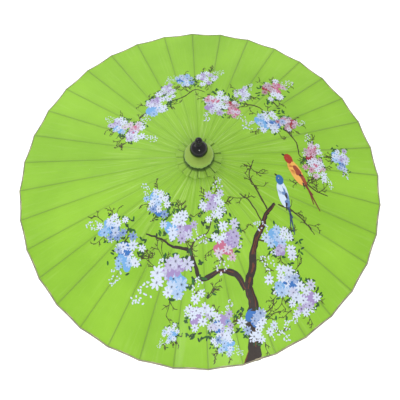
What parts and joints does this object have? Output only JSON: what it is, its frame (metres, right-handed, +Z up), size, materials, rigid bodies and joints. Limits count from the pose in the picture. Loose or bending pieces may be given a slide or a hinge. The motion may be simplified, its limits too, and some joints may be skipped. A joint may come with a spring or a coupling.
{
  "type": "oil paper umbrella",
  "caption": "Open East Asian parasol: painted oiled cover on hinged bamboo ribs, struts and a sliding runner, straight pole, turned grip and black finial.",
  "frame": {"origin": "centre of the pole's lower end, on the end cap's flat face", "axes": "+Z up along the pole towards the finial; +X along the first rib, over the spring catch"},
  "size_m": [0.83, 0.83, 0.6173],
  "materials": {
    "bamboo_pole": "bamboo cane, satin varnish",
    "bamboo": "split bamboo, matt",
    "turned_wood": "turned softwood, matt",
    "handle_wood": "turned wood, satin varnish",
    "thread": "twisted cotton",
    "green_cloth": "oiled cotton and paper, hand painted",
    "black_lacquer": "turned wood, gloss black lacquer",
    "steel": "spring steel"
  },
  "bodies": {
    "pole": {"pole": "bamboo_pole", "top_hub": "turned_wood", "hub_thread": "thread", "joint_thread": "thread", "rim_cord": "thread", "canopy": "green_cloth", "catch_pin": "steel", "catch_spring": "steel", "cap_skirt": "green_cloth", "cap_binding": "thread", "cap_crown": "green_cloth", "finial_ball": "black_lacquer", "finial_knob": "black_lacquer", "grip": "handle_wood", "grip_ring": "black_lacquer", "end_cap": "black_lacquer"},
    "runner": {"runner": "turned_wood", "runner_thread": "thread", "struts": "bamboo"},
    "catch": {"catch_lever": "steel"},
    "rib_01": {"rib_01": "bamboo"},
    "rib_02": {"rib_02": "bamboo"},
    "rib_03": {"rib_03": "bamboo"},
    "rib_04": {"rib_04": "bamboo"},
    "rib_05": {"rib_05": "bamboo"},
    "rib_06": {"rib_06": "bamboo"},
    "rib_07": {"rib_07": "bamboo"},
    "rib_08": {"rib_08": "bamboo"},
    "rib_09": {"rib_09": "bamboo"},
    "rib_10": {"rib_10": "bamboo"},
    "rib_11": {"rib_11": "bamboo"},
    "rib_12": {"rib_12": "bamboo"},
    "rib_13": {"rib_13": "bamboo"},
    "rib_14": {"rib_14": "bamboo"},
    "rib_15": {"rib_15": "bamboo"},
    "rib_16": {"rib_16": "bamboo"},
    "rib_17": {"rib_17": "bamboo"},
    "rib_18": {"rib_18": "bamboo"},
    "rib_19": {"rib_19": "bamboo"},
    "rib_20": {"rib_20": "bamboo"},
    "rib_21": {"rib_21": "bamboo"},
    "rib_22": {"rib_22": "bamboo"},
    "rib_23": {"rib_23": "bamboo"},
    "rib_24": {"rib_24": "bamboo"},
    "rib_25": {"rib_25": "bamboo"},
    "rib_26": {"rib_26": "bamboo"},
    "rib_27": {"rib_27": "bamboo"},
    "rib_28": {"rib_28": "bamboo"},
    "rib_29": {"rib_29": "bamboo"},
    "rib_30": {"rib_30": "bamboo"},
    "rib_31": {"rib_31": "bamboo"},
    "rib_32": {"rib_32": "bamboo"},
    "rib_33": {"rib_33": "bamboo"},
    "rib_34": {"rib_34": "bamboo"},
    "rib_35": {"rib_35": "bamboo"},
    "rib_36": {"rib_36": "bamboo"}
  },
  "joints": [
    {"name": "runner_slide", "type": "slide", "parent": "pole", "child": "runner", "axis": [0, 0, 1], "range_m": [-0.2415, 0], "deforming": ["struts", "joint_thread", "rim_cord", "canopy"]},
    {"name": "catch_hinge", "type": "hinge", "parent": "pole", "child": "catch", "pos_m": [0.0053, 0, 0.321], "axis": [0, 1, 0], "range_deg": [0, 4.9], "stiffness_Nm_per_rad": 0.15, "springref_deg": 14.32},
    {"name": "rib_01_hinge", "type": "hinge", "parent": "pole", "child": "rib_01", "pos_m": [0.021, 0, 0.525], "axis": [0, 1, 0], "range_deg": [0, 69.1]},
    {"name": "rib_02_hinge", "type": "hinge", "parent": "pole", "child": "rib_02", "pos_m": [0.02068, 0.00365, 0.525], "axis": [-0.1736, 0.9848, 0], "range_deg": [0, 69.1]},
    {"name": "rib_03_hinge", "type": "hinge", "parent": "pole", "child": "rib_03", "pos_m": [0.01973, 0.00718, 0.525], "axis": [-0.342, 0.9397, 0], "range_deg": [0, 69.1]},
    {"name": "rib_04_hinge", "type": "hinge", "parent": "pole", "child": "rib_04", "pos_m": [0.01819, 0.0105, 0.525], "axis": [-0.5, 0.866, 0], "range_deg": [0, 69.1]},
    {"name": "rib_05_hinge", "type": "hinge", "parent": "pole", "child": "rib_05", "pos_m": [0.01609, 0.0135, 0.525], "axis": [-0.6428, 0.766, 0], "range_deg": [0, 69.1]},
    {"name": "rib_06_hinge", "type": "hinge", "parent": "pole", "child": "rib_06", "pos_m": [0.0135, 0.01609, 0.525], "axis": [-0.766, 0.6428, 0], "range_deg": [0, 69.1]},
    {"name": "rib_07_hinge", "type": "hinge", "parent": "pole", "child": "rib_07", "pos_m": [0.0105, 0.01819, 0.525], "axis": [-0.866, 0.5, 0], "range_deg": [0, 69.1]},
    {"name": "rib_08_hinge", "type": "hinge", "parent": "pole", "child": "rib_08", "pos_m": [0.00718, 0.01973, 0.525], "axis": [-0.9397, 0.342, 0], "range_deg": [0, 69.1]},
    {"name": "rib_09_hinge", "type": "hinge", "parent": "pole", "child": "rib_09", "pos_m": [0.00365, 0.02068, 0.525], "axis": [-0.9848, 0.1736, 0], "range_deg": [0, 69.1]},
    {"name": "rib_10_hinge", "type": "hinge", "parent": "pole", "child": "rib_10", "pos_m": [0, 0.021, 0.525], "axis": [-1, 0, 0], "range_deg": [0, 69.1]},
    {"name": "rib_11_hinge", "type": "hinge", "parent": "pole", "child": "rib_11", "pos_m": [-0.00365, 0.02068, 0.525], "axis": [-0.9848, -0.1736, 0], "range_deg": [0, 69.1]},
    {"name": "rib_12_hinge", "type": "hinge", "parent": "pole", "child": "rib_12", "pos_m": [-0.00718, 0.01973, 0.525], "axis": [-0.9397, -0.342, 0], "range_deg": [0, 69.1]},
    {"name": "rib_13_hinge", "type": "hinge", "parent": "pole", "child": "rib_13", "pos_m": [-0.0105, 0.01819, 0.525], "axis": [-0.866, -0.5, 0], "range_deg": [0, 69.1]},
    {"name": "rib_14_hinge", "type": "hinge", "parent": "pole", "child": "rib_14", "pos_m": [-0.0135, 0.01609, 0.525], "axis": [-0.766, -0.6428, 0], "range_deg": [0, 69.1]},
    {"name": "rib_15_hinge", "type": "hinge", "parent": "pole", "child": "rib_15", "pos_m": [-0.01609, 0.0135, 0.525], "axis": [-0.6428, -0.766, 0], "range_deg": [0, 69.1]},
    {"name": "rib_16_hinge", "type": "hinge", "parent": "pole", "child": "rib_16", "pos_m": [-0.01819, 0.0105, 0.525], "axis": [-0.5, -0.866, 0], "range_deg": [0, 69.1]},
    {"name": "rib_17_hinge", "type": "hinge", "parent": "pole", "child": "rib_17", "pos_m": [-0.01973, 0.00718, 0.525], "axis": [-0.342, -0.9397, 0], "range_deg": [0, 69.1]},
    {"name": "rib_18_hinge", "type": "hinge", "parent": "pole", "child": "rib_18", "pos_m": [-0.02068, 0.00365, 0.525], "axis": [-0.1736, -0.9848, 0], "range_deg": [0, 69.1]},
    {"name": "rib_19_hinge", "type": "hinge", "parent": "pole", "child": "rib_19", "pos_m": [-0.021, 0, 0.525], "axis": [0, -1, 0], "range_deg": [0, 69.1]},
    {"name": "rib_20_hinge", "type": "hinge", "parent": "pole", "child": "rib_20", "pos_m": [-0.02068, -0.00365, 0.525], "axis": [0.1736, -0.9848, 0], "range_deg": [0, 69.1]},
    {"name": "rib_21_hinge", "type": "hinge", "parent": "pole", "child": "rib_21", "pos_m": [-0.01973, -0.00718, 0.525], "axis": [0.342, -0.9397, 0], "range_deg": [0, 69.1]},
    {"name": "rib_22_hinge", "type": "hinge", "parent": "pole", "child": "rib_22", "pos_m": [-0.01819, -0.0105, 0.525], "axis": [0.5, -0.866, 0], "range_deg": [0, 69.1]},
    {"name": "rib_23_hinge", "type": "hinge", "parent": "pole", "child": "rib_23", "pos_m": [-0.01609, -0.0135, 0.525], "axis": [0.6428, -0.766, 0], "range_deg": [0, 69.1]},
    {"name": "rib_24_hinge", "type": "hinge", "parent": "pole", "child": "rib_24", "pos_m": [-0.0135, -0.01609, 0.525], "axis": [0.766, -0.6428, 0], "range_deg": [0, 69.1]},
    {"name": "rib_25_hinge", "type": "hinge", "parent": "pole", "child": "rib_25", "pos_m": [-0.0105, -0.01819, 0.525], "axis": [0.866, -0.5, 0], "range_deg": [0, 69.1]},
    {"name": "rib_26_hinge", "type": "hinge", "parent": "pole", "child": "rib_26", "pos_m": [-0.00718, -0.01973, 0.525], "axis": [0.9397, -0.342, 0], "range_deg": [0, 69.1]},
    {"name": "rib_27_hinge", "type": "hinge", "parent": "pole", "child": "rib_27", "pos_m": [-0.00365, -0.02068, 0.525], "axis": [0.9848, -0.1736, 0], "range_deg": [0, 69.1]},
    {"name": "rib_28_hinge", "type": "hinge", "parent": "pole", "child": "rib_28", "pos_m": [0, -0.021, 0.525], "axis": [1, 0, 0], "range_deg": [0, 69.1]},
    {"name": "rib_29_hinge", "type": "hinge", "parent": "pole", "child": "rib_29", "pos_m": [0.00365, -0.02068, 0.525], "axis": [0.9848, 0.1736, 0], "range_deg": [0, 69.1]},
    {"name": "rib_30_hinge", "type": "hinge", "parent": "pole", "child": "rib_30", "pos_m": [0.00718, -0.01973, 0.525], "axis": [0.9397, 0.342, 0], "range_deg": [0, 69.1]},
    {"name": "rib_31_hinge", "type": "hinge", "parent": "pole", "child": "rib_31", "pos_m": [0.0105, -0.01819, 0.525], "axis": [0.866, 0.5, 0], "range_deg": [0, 69.1]},
    {"name": "rib_32_hinge", "type": "hinge", "parent": "pole", "child": "rib_32", "pos_m": [0.0135, -0.01609, 0.525], "axis": [0.766, 0.6428, 0], "range_deg": [0, 69.1]},
    {"name": "rib_33_hinge", "type": "hinge", "parent": "pole", "child": "rib_33", "pos_m": [0.01609, -0.0135, 0.525], "axis": [0.6428, 0.766, 0], "range_deg": [0, 69.1]},
    {"name": "rib_34_hinge", "type": "hinge", "parent": "pole", "child": "rib_34", "pos_m": [0.01819, -0.0105, 0.525], "axis": [0.5, 0.866, 0], "range_deg": [0, 69.1]},
    {"name": "rib_35_hinge", "type": "hinge", "parent": "pole", "child": "rib_35", "pos_m": [0.01973, -0.00718, 0.525], "axis": [0.342, 0.9397, 0], "range_deg": [0, 69.1]},
    {"name": "rib_36_hinge", "type": "hinge", "parent": "pole", "child": "rib_36", "pos_m": [0.02068, -0.00365, 0.525], "axis": [0.1736, 0.9848, 0], "range_deg": [0, 69.1]}
  ],
  "couplings": [
    {"joint": "rib_01_hinge", "follows": "runner_slide", "rad_per_m": -4.9867},
    {"joint": "rib_02_hinge", "follows": "runner_slide", "rad_per_m": -4.9867},
    {"joint": "rib_03_hinge", "follows": "runner_slide", "rad_per_m": -4.9867},
    {"joint": "rib_04_hinge", "follows": "runner_slide", "rad_per_m": -4.9867},
    {"joint": "rib_05_hinge", "follows": "runner_slide", "rad_per_m": -4.9867},
    {"joint": "rib_06_hinge", "follows": "runner_slide", "rad_per_m": -4.9867},
    {"joint": "rib_07_hinge", "follows": "runner_slide", "rad_per_m": -4.9867},
    {"joint": "rib_08_hinge", "follows": "runner_slide", "rad_per_m": -4.9867},
    {"joint": "rib_09_hinge", "follows": "runner_slide", "rad_per_m": -4.9867},
    {"joint": "rib_10_hinge", "follows": "runner_slide", "rad_per_m": -4.9867},
    {"joint": "rib_11_hinge", "follows": "runner_slide", "rad_per_m": -4.9867},
    {"joint": "rib_12_hinge", "follows": "runner_slide", "rad_per_m": -4.9867},
    {"joint": "rib_13_hinge", "follows": "runner_slide", "rad_per_m": -4.9867},
    {"joint": "rib_14_hinge", "follows": "runner_slide", "rad_per_m": -4.9867},
    {"joint": "rib_15_hinge", "follows": "runner_slide", "rad_per_m": -4.9867},
    {"joint": "rib_16_hinge", "follows": "runner_slide", "rad_per_m": -4.9867},
    {"joint": "rib_17_hinge", "follows": "runner_slide", "rad_per_m": -4.9867},
    {"joint": "rib_18_hinge", "follows": "runner_slide", "rad_per_m": -4.9867},
    {"joint": "rib_19_hinge", "follows": "runner_slide", "rad_per_m": -4.9867},
    {"joint": "rib_20_hinge", "follows": "runner_slide", "rad_per_m": -4.9867},
    {"joint": "rib_21_hinge", "follows": "runner_slide", "rad_per_m": -4.9867},
    {"joint": "rib_22_hinge", "follows": "runner_slide", "rad_per_m": -4.9867},
    {"joint": "rib_23_hinge", "follows": "runner_slide", "rad_per_m": -4.9867},
    {"joint": "rib_24_hinge", "follows": "runner_slide", "rad_per_m": -4.9867},
    {"joint": "rib_25_hinge", "follows": "runner_slide", "rad_per_m": -4.9867},
    {"joint": "rib_26_hinge", "follows": "runner_slide", "rad_per_m": -4.9867},
    {"joint": "rib_27_hinge", "follows": "runner_slide", "rad_per_m": -4.9867},
    {"joint": "rib_28_hinge", "follows": "runner_slide", "rad_per_m": -4.9867},
    {"joint": "rib_29_hinge", "follows": "runner_slide", "rad_per_m": -4.9867},
    {"joint": "rib_30_hinge", "follows": "runner_slide", "rad_per_m": -4.9867},
    {"joint": "rib_31_hinge", "follows": "runner_slide", "rad_per_m": -4.9867},
    {"joint": "rib_32_hinge", "follows": "runner_slide", "rad_per_m": -4.9867},
    {"joint": "rib_33_hinge", "follows": "runner_slide", "rad_per_m": -4.9867},
    {"joint": "rib_34_hinge", "follows": "runner_slide", "rad_per_m": -4.9867},
    {"joint": "rib_35_hinge", "follows": "runner_slide", "rad_per_m": -4.9867},
    {"joint": "rib_36_hinge", "follows": "runner_slide", "rad_per_m": -4.9867}
  ]
}
